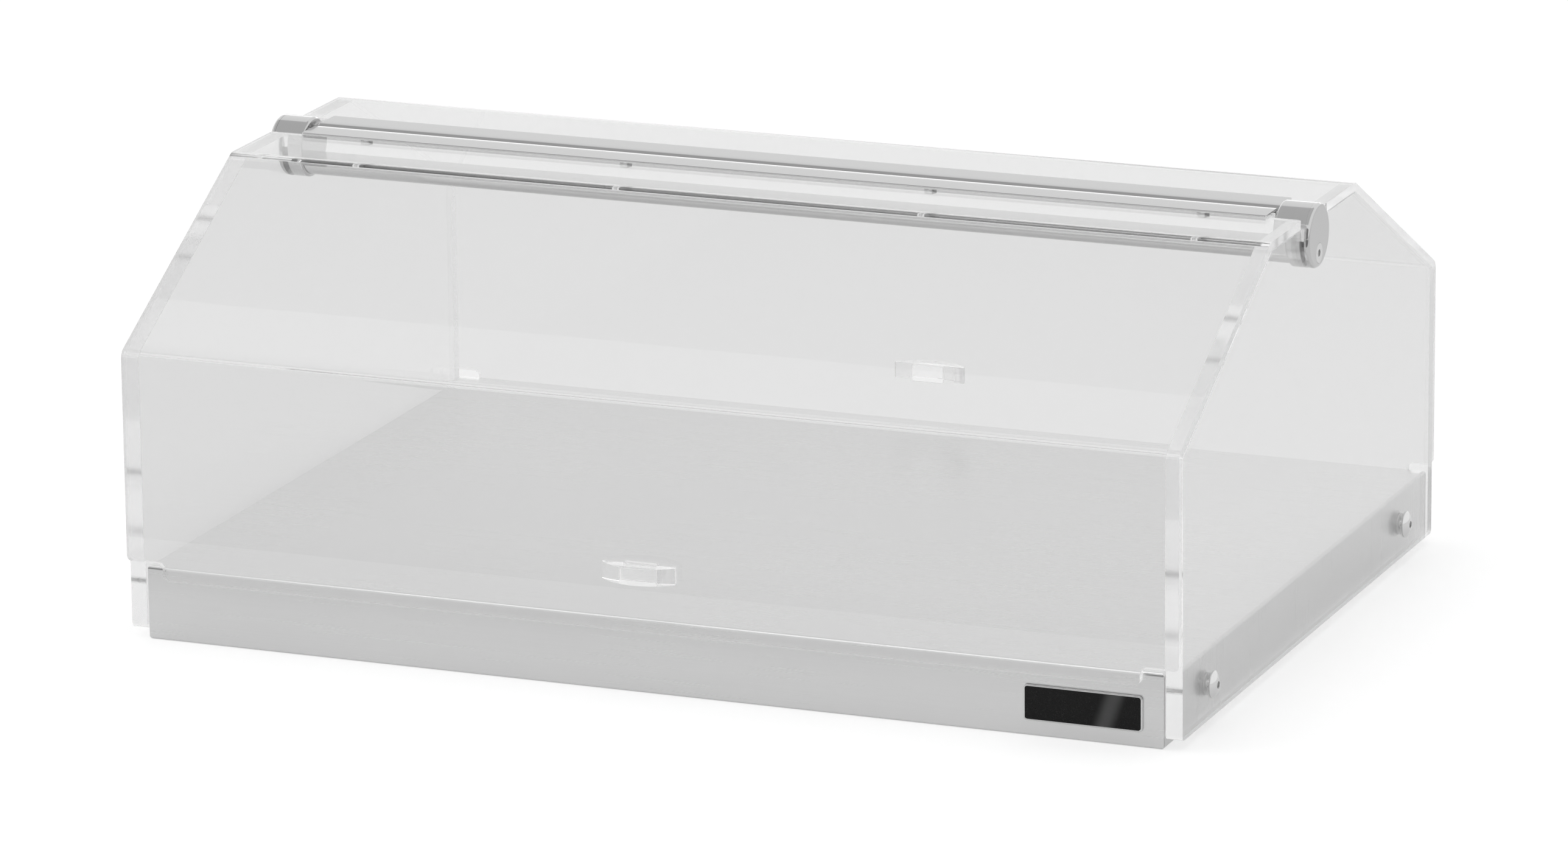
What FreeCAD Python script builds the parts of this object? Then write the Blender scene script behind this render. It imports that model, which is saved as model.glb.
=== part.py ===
import FreeCAD, Part
import math
import os
import re
import Sketcher

# Countertop bread display bin, in millimetres.
# The origin is the middle of the footprint on the worktop: X runs left to right, -Y is the front, Z is up.
# Two clear lids, front and rear, swing on a hinge bar that runs along the top between two clear side panels.
# The bin is the same after half a turn about Z, apart from its badge plate, so the rear and left pieces are
# the front and right pieces turned round.

SIZES = {
    # Case, measured over the clear side panels
    "case_width": 650.0,
    "case_depth": 450.0,
    "panel_wall": 10.0,
    "panel_foot_gap": 6.0,
    "panel_foot_radius": 3.0,
    # Folded steel base tray, floor up
    "tray_height": 44.5,
    "tray_wall": 1.2,
    "tray_side_gap": 1.2,
    "tray_bend_radius": 0.8,
    "tray_flange": 15.0,
    "tray_seam_gap": 0.4,
    # Clear bent lids
    "lid_wall": 5.0,
    "lid_seat_gap": 0.3,
    "lid_end_inset": 0.5,
    "lid_front_bend_height": 173.2,
    "lid_top_bend_reach": 76.2,
    "lid_top_height": 257.7,
    "lid_bend_radius": 1.5,
    "lid_lap": 7.0,
    "lid_end_rise": 10.5,
    "lid_end_step_width": 23.0,
    "lid_step_radius": 3.5,
    "lid_corner_radius": 3.0,
    "lid_tab_width": 20.0,
    "lid_tab_reach": 20.5,
    "lid_tongue_gap": 0.9,
    # Clear crescent handles, each with a tenon through its lid
    "handle_width": 45.4,
    "handle_depth": 11.5,
    "handle_end_depth": 2.2,
    "handle_wall": 10.0,
    "handle_foot_height": 68.5,
    "handle_glue_film": 0.05,
    "tenon_width": 20.0,
    "tenon_gap": 0.15,
    "tenon_slot_radius": 0.5,
    # Steel hinge leaves rolled round the hinge rods, and what holds the lids to them
    "leaf_wall": 1.5,
    "leaf_reach": 23.0,
    "leaf_end_gap": 2.5,
    "leaf_corner_radius": 1.0,
    "leaf_roll_end_rise": 0.7,
    "rod_diameter": 5.0,
    "hinge_clearance": 0.08,
    "eye_gap": 0.84,
    "stud_diameter": 4.0,
    "stud_hole_clearance": 0.2,
    "stud_inset": 5.5,
    "stud_tip": 0.6,
    "stud_end_inset": 40.0,
    "inner_stud_share": 0.3643,
    "leaf_nut_across_flats": 7.0,
    "leaf_nut_thickness": 2.4,
    # End plugs, end discs and the bar between them, a tube with a round underside and a flat top
    "plug_diameter": 38.0,
    "plug_flange": 9.0,
    "plug_edge_radius": 1.6,
    "bridge_width": 33.6,
    "bridge_gap": 0.05,
    "notch_gap": 0.4,
    "notch_radius": 2.0,
    "rod_rise": 11.0,
    "rod_hole_depth": 12.0,
    "rod_end_gap": 0.3,
    "rod_fit_clearance": 0.05,
    "spigot_length": 6.0,
    "spigot_gap": 0.3,
    "bar_diameter": 34.6,
    "bar_flat_drop": 9.1,
    "bar_wall": 1.5,
    "disc_thickness": 3.0,
    "disc_edge_radius": 2.0,
    "disc_screw_drop": 10.3,
    "disc_screw_head": 11.8,
    "disc_screw_tip_gap": 1.7,
    "plug_hole_floor": 1.0,
    "countersink_gap": 0.1,
    "disc_screw_thread": 6.0,
    # Screws that hold the panels to the tray
    "side_screw_thread": 4.0,
    "thread_clearance": 0.05,
    "screw_hole_clearance": 0.2,
    "side_screw_spacing": 348.0,
    "side_screw_height": 25.0,
    "side_screw_head": 16.0,
    "side_screw_head_height": 3.3,
    "side_screw_head_rim": 0.8,
    "side_screw_head_flat": 5.6,
    "side_screw_tip": 1.0,
    "spacer_diameter": 13.0,
    "side_nut_across_flats": 7.0,
    "side_nut_thickness": 3.2,
    "key_across_flats": 4.0,
    "key_depth": 2.0,
    # Blank badge plate on the front of the tray
    "badge_width": 71.1,
    "badge_height": 21.3,
    "badge_thickness": 1.5,
    "badge_end_inset": 13.3,
    "badge_foot_height": 9.2,
    "badge_corner_radius": 2.5,
    # How far a cut runs past the face that it starts from
    "overrun": 1.0,
}

PLACES = {
    # Panels and tray
    "panel_outer_face": "case_width / 2",
    "panel_inner_face": "case_width / 2 - panel_wall",
    "tray_width": "2 * (panel_inner_face - tray_side_gap)",
    "tray_outer_bend": "tray_bend_radius + tray_wall",
    # Lid section: the slope runs between the front bend and the top bend
    "lid_front": "case_depth / 2 + lid_seat_gap + lid_wall",
    "lid_end": "panel_outer_face - lid_end_inset",
    "lid_low_edge": "tray_height - lid_lap",
    "lid_end_low_edge": "lid_low_edge + lid_end_rise",
    "lid_end_step": "lid_end - lid_end_step_width",
    "slope_rise": "lid_top_height - lid_front_bend_height",
    "slope_tilt": "atan(slope_rise / (lid_front - lid_top_bend_reach))",
    "front_turn_share": "tan((90 deg - slope_tilt) / 2)",
    "top_turn_share": "tan(slope_tilt / 2)",
    "lid_outer_bend": "lid_bend_radius + lid_wall",
    "lid_underside": "lid_top_height - lid_wall",
    "panel_inset": "lid_wall + lid_seat_gap",
    # Hinge: the leaf lies on the lid and rolls down round its rod
    "leaf_top": "lid_top_height + leaf_wall",
    "eye_bore_radius": "rod_diameter / 2 + hinge_clearance",
    "eye_radius": "eye_bore_radius + leaf_wall",
    "pivot_reach": "eye_radius + eye_gap / 2",
    "pivot_height": "leaf_top - eye_radius",
    "roll_end_reach": "sqrt(eye_radius ^ 2 - leaf_roll_end_rise ^ 2)",
    "bore_share": "eye_bore_radius / eye_radius",
    "lid_tongue_reach": "pivot_reach + eye_radius + lid_tongue_gap",
    "stud_reach": "leaf_reach - stud_inset",
    "leaf_end": "plug_inner_face - leaf_end_gap",
    "outer_stud": "leaf_end - stud_end_inset",
    "inner_stud": "outer_stud * inner_stud_share",
    # Hinge bar ends
    "bar_height": "pivot_height - rod_rise",
    "plug_radius": "plug_diameter / 2",
    "plug_inner_face": "panel_inner_face - plug_flange",
    "bridge_side_rise": "sqrt(plug_radius ^ 2 - (bridge_width / 2) ^ 2)",
    "bar_radius": "bar_diameter / 2",
    "bar_flat_height": "bar_height - bar_flat_drop",
    "bar_flat_reach": "sqrt(bar_radius ^ 2 - bar_flat_drop ^ 2)",
    "bore_radius": "bar_radius - bar_wall",
    "bore_flat_drop": "bar_flat_drop + bar_wall",
    "bore_flat_reach": "sqrt(bore_radius ^ 2 - bore_flat_drop ^ 2)",
    "spigot_radius": "bore_radius - spigot_gap",
    "spigot_flat_drop": "bore_flat_drop + spigot_gap",
    "spigot_flat_reach": "sqrt(spigot_radius ^ 2 - spigot_flat_drop ^ 2)",
    "disc_outer_face": "panel_outer_face + disc_thickness",
    "disc_screw_height": "bar_height - disc_screw_drop",
    "countersink": "(disc_screw_head - disc_screw_thread) / 2",
    # Side screws: the head is a cap of a sphere over a flat rim
    "side_screw_reach": "side_screw_spacing / 2",
    "side_nut_face": "tray_width / 2 - tray_wall - side_nut_thickness",
    "head_rise": "side_screw_head_height - side_screw_head_rim",
    "head_rim_square": "(side_screw_head / 2) ^ 2 + side_screw_head_rim ^ 2",
    "head_top_square": "(side_screw_head_flat / 2) ^ 2 + side_screw_head_height ^ 2",
    "dome_centre_drop": "(head_rim_square - head_top_square) / (2 * head_rise)",
    # Handle: the curve of the crescent stands on two blunt ends
    "handle_sagitta": "handle_depth - handle_end_depth",
    "handle_curve_radius": "((handle_width / 2) ^ 2 + handle_sagitta ^ 2) / (2 * handle_sagitta)",
}

# How a sketch counts its own axes, and the points of a side; its origin is the start of its level axis
LEVEL_AXIS, UPRIGHT_AXIS = range(-1, -3, -1)
START_POINT, END_POINT, CENTRE_POINT = range(1, 4)

doc = FreeCAD.newDocument("BreadDisplayBin")
sizes = doc.addObject("Spreadsheet::Sheet", "Sizes")
for row, (name, size) in enumerate(SIZES.items(), start=1):
    sizes.set(f"A{row}", name)
    sizes.set(f"B{row}", str(size))
    sizes.setAlias(f"B{row}", name)


def named(expression):
    """The expression with each name's sheet written before it."""
    def with_sheet(word):
        if word.group() in SIZES:
            return "Sizes." + word.group()
        if word.group() in PLACES:
            return "Places." + word.group()
        return word.group()
    return re.sub(r"[a-z][a-z_]+", with_sheet, expression)


places = doc.addObject("Spreadsheet::Sheet", "Places")
for row, (name, formula) in enumerate(PLACES.items(), start=1):
    places.set(f"A{row}", name)
    places.setAlias(f"B{row}", name)
    places.set(f"B{row}", "=" + named(formula))
doc.recompute()


def value(expression):
    """The expression's present value."""
    result = sizes.evalExpression(named(expression))
    return float(getattr(result, "Value", result))


def new_body(label, many=False):
    """An empty body; many allows a group of separate like solids."""
    body = doc.addObject("PartDesign::Body", label)
    body.Label = label
    body.AllowCompound = many
    return body


def origin_plane(body, role):
    return next(feature for feature in body.Origin.OriginFeatures if feature.Role == role)


def sketch_on(body, role, name, right="0", up="0", out="0"):
    """A sketch on one of the body's own planes, its origin moved by named distances."""
    sketch = body.newObject("Sketcher::SketchObject", f"{body.Name}_{name}")
    sketch.AttachmentSupport = [(origin_plane(body, role), "")]
    sketch.MapMode = "FlatFace"
    for axis, distance in (("x", right), ("y", up), ("z", out)):
        if distance != "0":
            sketch.setExpression(f"AttachmentOffset.Base.{axis}", named(distance))
    return sketch


def hold(sketch, geometry, point, direction, distance):
    """Holds a point of the sketch at a named distance from the sketch's origin."""
    if distance == "0":
        axis = UPRIGHT_AXIS if direction == "DistanceX" else LEVEL_AXIS
        sketch.addConstraint(Sketcher.Constraint("PointOnObject", geometry, point, axis))
        return
    constraint = Sketcher.Constraint(direction, LEVEL_AXIS, START_POINT, geometry, point, value(distance))
    index = sketch.addConstraint(constraint)
    sketch.setExpression(f"Constraints[{index}]", named(distance))


def hold_both(sketch, geometry, point, right, up):
    hold(sketch, geometry, point, "DistanceX", right)
    hold(sketch, geometry, point, "DistanceY", up)


def hold_radius(sketch, geometry, radius):
    index = sketch.addConstraint(Sketcher.Constraint("Radius", geometry, value(radius)))
    sketch.setExpression(f"Constraints[{index}]", named(radius))


def arc_between(sketch, first, last, centre, clockwise):
    """Adds an arc and returns it with the numbers of the points where the outline enters and leaves it."""
    if clockwise:
        first, last = last, first
    start_angle = math.atan2(first.y - centre.y, first.x - centre.x)
    end_angle = math.atan2(last.y - centre.y, last.x - centre.x)
    if end_angle <= start_angle:
        end_angle += 2 * math.pi
    circle = Part.Circle(centre, FreeCAD.Vector(0, 0, 1), (first - centre).Length)
    geometry = sketch.addGeometry(Part.ArcOfCircle(circle, start_angle, end_angle), False)
    if clockwise:
        return geometry, END_POINT, START_POINT
    return geometry, START_POINT, END_POINT


class Arc:
    """A round side of an outline, from the corner before it to the corner after it."""

    def __init__(self, right, up, clockwise=False):
        self.right = right
        self.up = up
        self.clockwise = clockwise


class Corner:
    """A corner of an outline, sharp or rounded."""

    def __init__(self, right, up, radius=None):
        self.right = right
        self.up = up
        self.radius = radius


def outline(sketch, *steps):
    """Closed outline. A step is a corner (right, up), a rounded corner (right, up, radius) or an Arc."""
    corners = [Corner(*step) for step in steps if not isinstance(step, Arc)]
    arcs = {}
    passed = -1
    for step in steps:
        if isinstance(step, Arc):
            arcs[passed] = step
        else:
            passed += 1
    points = [FreeCAD.Vector(value(corner.right), value(corner.up), 0) for corner in corners]
    arrivals = list(points)
    departures = list(points)
    roundings = {}
    for index, corner in enumerate(corners):
        if corner.radius is None:
            continue
        back = (points[index - 1] - points[index]).normalize()
        ahead = (points[(index + 1) % len(points)] - points[index]).normalize()
        half_angle = back.getAngle(ahead) / 2
        radius = value(corner.radius)
        arrivals[index] = points[index] + back * (radius / math.tan(half_angle))
        departures[index] = points[index] + ahead * (radius / math.tan(half_angle))
        centre = points[index] + (back + ahead).normalize() * (radius / math.sin(half_angle))
        roundings[index] = (centre, back.cross(ahead).z > 0)
    sides = []
    for index in range(len(points)):
        following = (index + 1) % len(points)
        if index in arcs:
            arc = arcs[index]
            centre = FreeCAD.Vector(value(arc.right), value(arc.up), 0)
            side = arc_between(sketch, points[index], points[following], centre, arc.clockwise)
            chord = points[following] - points[index]
            if abs(chord.x) > abs(chord.y):
                hold(sketch, side[0], CENTRE_POINT, "DistanceY", arc.up)
            else:
                hold(sketch, side[0], CENTRE_POINT, "DistanceX", arc.right)
        else:
            line = Part.LineSegment(departures[index], arrivals[following])
            side = (sketch.addGeometry(line, False), START_POINT, END_POINT)
        sides.append(side)
    for index, corner in enumerate(corners):
        before, _, before_end = sides[index - 1]
        after, after_start, _ = sides[index]
        if index not in roundings:
            sketch.addConstraint(Sketcher.Constraint("Coincident", before, before_end, after, after_start))
            hold_both(sketch, after, after_start, corner.right, corner.up)
            continue
        centre, clockwise = roundings[index]
        arc, entry, leave = arc_between(sketch, arrivals[index], departures[index], centre, clockwise)
        sharp = sketch.addGeometry(Part.Point(points[index]), True)
        sketch.addConstraint(Sketcher.Constraint("Tangent", before, before_end, arc, entry))
        sketch.addConstraint(Sketcher.Constraint("Tangent", arc, leave, after, after_start))
        sketch.addConstraint(Sketcher.Constraint("PointOnObject", sharp, START_POINT, before))
        sketch.addConstraint(Sketcher.Constraint("PointOnObject", sharp, START_POINT, after))
        hold_both(sketch, sharp, START_POINT, corner.right, corner.up)
        hold_radius(sketch, arc, corner.radius)


def circle(sketch, right, up, diameter):
    centre = FreeCAD.Vector(value(right), value(up), 0)
    shape = Part.Circle(centre, FreeCAD.Vector(0, 0, 1), value(diameter) / 2)
    geometry = sketch.addGeometry(shape, False)
    hold_both(sketch, geometry, CENTRE_POINT, right, up)
    hold_radius(sketch, geometry, f"({diameter}) / 2")


def rectangle(sketch, left, right, low, high, radius=None):
    corners = [(left, low), (right, low), (right, high), (left, high)]
    if radius:
        corners = [corner + (radius,) for corner in corners]
    outline(sketch, *corners)


def hexagon(sketch, right, up, across_flats):
    """Hexagon with two corners level with its centre."""
    far = f"({across_flats}) / sqrt(3)"
    near = f"({across_flats}) / sqrt(3) / 2"
    flat = f"({across_flats}) / 2"
    outline(
        sketch,
        (f"({right}) + {far}", up),
        (f"({right}) + {near}", f"({up}) + {flat}"),
        (f"({right}) - {near}", f"({up}) + {flat}"),
        (f"({right}) - {far}", up),
        (f"({right}) - {near}", f"({up}) - {flat}"),
        (f"({right}) + {near}", f"({up}) - {flat}"),
    )


def pad(body, sketch, length, both_ways=False, backwards=False):
    feature = body.newObject("PartDesign::Pad", sketch.Name + "_pad")
    feature.Profile = sketch
    feature.SideType = "Symmetric" if both_ways else "One side"
    feature.Reversed = backwards
    feature.setExpression("Length", named(length))
    doc.recompute()


def cut(body, sketch, length=None, forwards=False):
    """Pocket against the sketch's normal, or forwards along it; without a length it goes through both ways."""
    before = body.Tip.Shape.Volume
    feature = body.newObject("PartDesign::Pocket", sketch.Name + "_cut")
    feature.Profile = sketch
    if length:
        feature.Reversed = forwards
        feature.setExpression("Length", named(length))
    else:
        feature.Type = "ThroughAll"
        feature.SideType = "Symmetric"
    doc.recompute()
    if feature.Shape.isNull() or feature.Shape.Volume >= before:
        raise RuntimeError(f"{feature.Name} cuts nothing")


def turn(body, sketch):
    """Turned solid about the sketch's own level axis."""
    feature = body.newObject("PartDesign::Revolution", sketch.Name + "_turn")
    feature.Profile = sketch
    feature.ReferenceAxis = (sketch, ["H_Axis"])
    doc.recompute()


def mirror(body, role):
    """Repeats the whole body on the far side of one of its planes."""
    feature = body.newObject("PartDesign::Mirrored", f"{body.Name}_{role}_mirror")
    feature.TransformMode = "Whole shape"
    feature.MirrorPlane = (origin_plane(body, role), [""])
    body.Tip = feature
    doc.recompute()


def chosen_edges(shape, wanted):
    """Names of the edges for which wanted(middle of the edge, edge) is true."""
    names = []
    for index, edge in enumerate(shape.Edges, start=1):
        if wanted(edge.CenterOfMass, edge):
            names.append(f"Edge{index}")
    return names


def dress_edges(body, kind, size_property, size, wanted):
    """Fillet or Chamfer on the chosen edges of the body so far."""
    base = body.Tip
    names = chosen_edges(base.Shape, wanted)
    if not names:
        raise RuntimeError(f"{body.Name} has no edge to dress")
    feature = body.newObject(f"PartDesign::{kind}", f"{body.Name}_{kind.lower()}_{len(body.Group)}")
    feature.Base = (base, names)
    feature.setExpression(size_property, named(size))
    doc.recompute()


def near(first, second):
    """True where two lengths agree to a small share of the wall that the tray is folded from."""
    return abs(first - second) < value("tray_wall") / 100


def turn_round(body):
    """Turns a front piece to the rear, or a right piece to the left."""
    body.Placement = FreeCAD.Placement(FreeCAD.Vector(), FreeCAD.Rotation(FreeCAD.Vector(0, 0, 1), 180))


def make_base_tray():
    """Steel sheet folded to a floor, four skirts and a return flange along the foot of each skirt."""
    body = new_body("base_tray")
    block = sketch_on(body, "XY_Plane", "block")
    rectangle(block, "-tray_width / 2", "tray_width / 2", "-case_depth / 2", "case_depth / 2")
    pad(body, block, "tray_height")
    foot = sketch_on(body, "XY_Plane", "foot")
    foot_half_width = "tray_width / 2 - tray_flange"
    foot_half_depth = "case_depth / 2 - tray_flange"
    rectangle(foot, f"-({foot_half_width})", foot_half_width, f"-({foot_half_depth})", foot_half_depth)
    cut(body, foot, "tray_wall", forwards=True)
    hollow = sketch_on(body, "XY_Plane", "hollow", out="tray_wall")
    half_width = "tray_width / 2 - tray_wall"
    half_depth = "case_depth / 2 - tray_wall"
    rectangle(hollow, f"-({half_width})", half_width, f"-({half_depth})", half_depth)
    cut(body, hollow, "tray_height - 2 * tray_wall", forwards=True)

    def on_fold(middle, inset):
        level = near(middle.z, value(inset)) or near(middle.z, value(f"tray_height - ({inset})"))
        across = near(abs(middle.x), value(f"tray_width / 2 - ({inset})"))
        along = near(abs(middle.y), value(f"case_depth / 2 - ({inset})"))
        return level and (across or along)

    dress_edges(body, "Fillet", "Radius", "tray_outer_bend", lambda middle, edge: on_fold(middle, "0 * tray_wall"))
    dress_edges(body, "Fillet", "Radius", "tray_bend_radius", lambda middle, edge: on_fold(middle, "tray_wall"))
    seams = sketch_on(body, "XY_Plane", "seams")
    for side in ("", "-"):
        for end in ("", "-"):
            rectangle(
                seams,
                f"{side}(tray_width / 2 - tray_wall - overrun)",
                f"{side}(tray_width / 2 + overrun)",
                f"{end}(case_depth / 2 - tray_wall - tray_seam_gap)",
                f"{end}(case_depth / 2 - tray_wall)",
            )
    cut(body, seams, "tray_height - tray_outer_bend", forwards=True)
    holes = sketch_on(body, "YZ_Plane", "holes")
    for end in ("", "-"):
        circle(holes, f"{end}side_screw_reach", "side_screw_height", "side_screw_thread + 2 * screw_hole_clearance")
    cut(body, holes)
    return body


def make_side_panel(label):
    """Clear acrylic plate cut to the lids' section, notched at the top for the hinge bar's plug."""
    body = new_body(label)
    plate = sketch_on(body, "YZ_Plane", "plate", out="panel_inner_face")
    front = "lid_front - panel_inset"
    bend = "lid_front_bend_height - panel_inset * front_turn_share"
    top_reach = "lid_top_bend_reach - panel_inset * top_turn_share"
    top = "lid_top_height - panel_inset"
    notch = "bridge_width / 2 + notch_gap"
    outline(
        plate,
        (f"-({front})", "panel_foot_gap", "panel_foot_radius"),
        (front, "panel_foot_gap", "panel_foot_radius"),
        (front, bend, "lid_bend_radius"),
        (top_reach, top, "lid_bend_radius"),
        (notch, top, "notch_radius"),
        (notch, "bar_height"),
        (f"-({notch})", "bar_height"),
        (f"-({notch})", top, "notch_radius"),
        (f"-({top_reach})", top, "lid_bend_radius"),
        (f"-({front})", bend, "lid_bend_radius"),
    )
    pad(body, plate, "panel_wall")
    holes = sketch_on(body, "YZ_Plane", "holes")
    hole = "side_screw_thread + 2 * screw_hole_clearance"
    circle(holes, "side_screw_reach", "side_screw_height", hole)
    circle(holes, "-side_screw_reach", "side_screw_height", hole)
    circle(holes, "0", "disc_screw_height", "disc_screw_thread + 2 * screw_hole_clearance")
    cut(body, holes)
    return body


def make_lid(label):
    """Clear acrylic sheet bent twice: front wall, slope and the flat that the hinge leaf holds."""
    body = new_body(label)
    section = sketch_on(body, "YZ_Plane", "section")
    outline(
        section,
        ("-lid_front", "lid_low_edge"),
        ("-(lid_front - lid_wall)", "lid_low_edge"),
        ("-(lid_front - lid_wall)", "lid_front_bend_height - lid_wall * front_turn_share", "lid_bend_radius"),
        ("-(lid_top_bend_reach - lid_wall * top_turn_share)", "lid_underside", "lid_bend_radius"),
        ("-lid_tongue_reach", "lid_underside"),
        ("-lid_tongue_reach", "lid_top_height"),
        ("-lid_top_bend_reach", "lid_top_height", "lid_outer_bend"),
        ("-lid_front", "lid_front_bend_height", "lid_outer_bend"),
    )
    pad(body, section, "2 * lid_end", both_ways=True)
    corners = sketch_on(body, "XZ_Plane", "corners", out="lid_front + overrun")
    for side, clockwise in (("", False), ("-", True)):
        outline(
            corners,
            (f"{side}(lid_end_step - lid_step_radius)", "lid_low_edge - overrun"),
            (f"{side}(lid_end + overrun)", "lid_low_edge - overrun"),
            (f"{side}(lid_end + overrun)", "lid_end_low_edge + lid_corner_radius"),
            (f"{side}lid_end", "lid_end_low_edge + lid_corner_radius"),
            Arc(f"{side}(lid_end - lid_corner_radius)", "lid_end_low_edge + lid_corner_radius", not clockwise),
            (f"{side}(lid_end - lid_corner_radius)", "lid_end_low_edge"),
            (f"{side}(lid_end_step + lid_step_radius)", "lid_end_low_edge"),
            Arc(f"{side}(lid_end_step + lid_step_radius)", "lid_end_low_edge - lid_step_radius", clockwise),
            (f"{side}lid_end_step", "lid_end_low_edge - lid_step_radius"),
            (f"{side}lid_end_step", "lid_low_edge + lid_step_radius"),
            Arc(f"{side}(lid_end_step - lid_step_radius)", "lid_low_edge + lid_step_radius", not clockwise),
            (f"{side}(lid_end_step - lid_step_radius)", "lid_low_edge"),
        )
    cut(body, corners, "lid_wall + 2 * overrun")
    slot = sketch_on(body, "XZ_Plane", "slot", out="lid_front + overrun")
    rectangle(
        slot,
        "-(tenon_width / 2 + tenon_gap)",
        "tenon_width / 2 + tenon_gap",
        "handle_foot_height - tenon_gap",
        "handle_foot_height + handle_wall + tenon_gap",
        "tenon_slot_radius",
    )
    cut(body, slot, "lid_wall + 2 * overrun")
    tabs = sketch_on(body, "XY_Plane", "tabs", out="lid_underside - overrun")
    for side, clockwise in (("", False), ("-", True)):
        outline(
            tabs,
            (f"{side}(lid_end - lid_tab_width)", "-lid_tab_reach"),
            (f"{side}(lid_end - lid_corner_radius)", "-lid_tab_reach"),
            Arc(f"{side}(lid_end - lid_corner_radius)", "-(lid_tab_reach + lid_corner_radius)", not clockwise),
            (f"{side}lid_end", "-(lid_tab_reach + lid_corner_radius)"),
            (f"{side}(lid_end + overrun)", "-(lid_tab_reach + lid_corner_radius)"),
            (f"{side}(lid_end + overrun)", "-(lid_tongue_reach - overrun)"),
            (f"{side}(lid_end - lid_tab_width)", "-(lid_tongue_reach - overrun)"),
        )
    cut(body, tabs, "lid_wall + 2 * overrun", forwards=True)
    holes = sketch_on(body, "XY_Plane", "holes", out="lid_underside - overrun")
    for right in stud_places():
        circle(holes, right, "-stud_reach", "stud_diameter + 2 * stud_hole_clearance")
    cut(body, holes, "lid_wall + 2 * overrun", forwards=True)
    return body


def stud_places():
    """Where the four studs of a leaf stand along X."""
    return ("-outer_stud", "-inner_stud", "inner_stud", "outer_stud")


def make_handle(label):
    """Clear acrylic crescent on the lid's front wall, with a tenon glued into the lid's slot."""
    body = new_body(label)
    crescent = sketch_on(body, "XY_Plane", "crescent", out="handle_foot_height")
    outline(
        crescent,
        ("-handle_width / 2", "-(lid_front + handle_glue_film)"),
        ("-handle_width / 2", "-(lid_front + handle_end_depth)"),
        Arc("0", "handle_curve_radius - lid_front - handle_depth"),
        ("handle_width / 2", "-(lid_front + handle_end_depth)"),
        ("handle_width / 2", "-(lid_front + handle_glue_film)"),
        ("tenon_width / 2", "-(lid_front + handle_glue_film)"),
        ("tenon_width / 2", "-(lid_front - lid_wall)"),
        ("-tenon_width / 2", "-(lid_front - lid_wall)"),
        ("-tenon_width / 2", "-(lid_front + handle_glue_film)"),
    )
    pad(body, crescent, "handle_wall")
    return body


def make_hinge_leaf(label):
    """Steel strip on the lid's flat, its inner edge rolled to an eye, with studs welded under it."""
    body = new_body(label)
    section = sketch_on(body, "YZ_Plane", "section")
    outline(
        section,
        ("-leaf_reach", "lid_top_height"),
        ("-pivot_reach", "lid_top_height"),
        Arc("-pivot_reach", "pivot_height", clockwise=True),
        (
            "-(pivot_reach + roll_end_reach * bore_share)",
            "pivot_height + leaf_roll_end_rise * bore_share",
        ),
        ("-(pivot_reach + roll_end_reach)", "pivot_height + leaf_roll_end_rise"),
        Arc("-pivot_reach", "pivot_height"),
        ("-pivot_reach", "leaf_top"),
        ("-leaf_reach", "leaf_top"),
    )
    pad(body, section, "2 * leaf_end", both_ways=True)

    def at_front_corner(middle, edge):
        return near(edge.BoundBox.ZLength, value("leaf_wall")) and near(middle.y, -value("leaf_reach"))

    dress_edges(body, "Fillet", "Radius", "leaf_corner_radius", at_front_corner)
    studs = sketch_on(body, "XY_Plane", "studs", out="lid_top_height")
    for right in stud_places():
        circle(studs, right, "-stud_reach", "stud_diameter")
    pad(body, studs, "lid_wall + leaf_nut_thickness + stud_tip", backwards=True)
    return body


def make_leaf_nuts(label):
    """Nuts on the studs, under the lid's flat."""
    body = new_body(label, many=True)
    nuts = sketch_on(body, "XY_Plane", "nuts", out="lid_underside")
    for right in stud_places():
        hexagon(nuts, right, "-stud_reach", "leaf_nut_across_flats")
        circle(nuts, right, "-stud_reach", "stud_diameter + 2 * thread_clearance")
    pad(body, nuts, "leaf_nut_thickness", backwards=True)
    return body


def make_hinge_rod(label):
    """Round steel rod that carries one lid, held in blind holes in the end plugs."""
    body = new_body(label)
    section = sketch_on(body, "YZ_Plane", "section")
    circle(section, "-pivot_reach", "pivot_height", "rod_diameter")
    pad(body, section, "2 * (plug_inner_face + rod_hole_depth - rod_end_gap)", both_ways=True)
    return body


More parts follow.
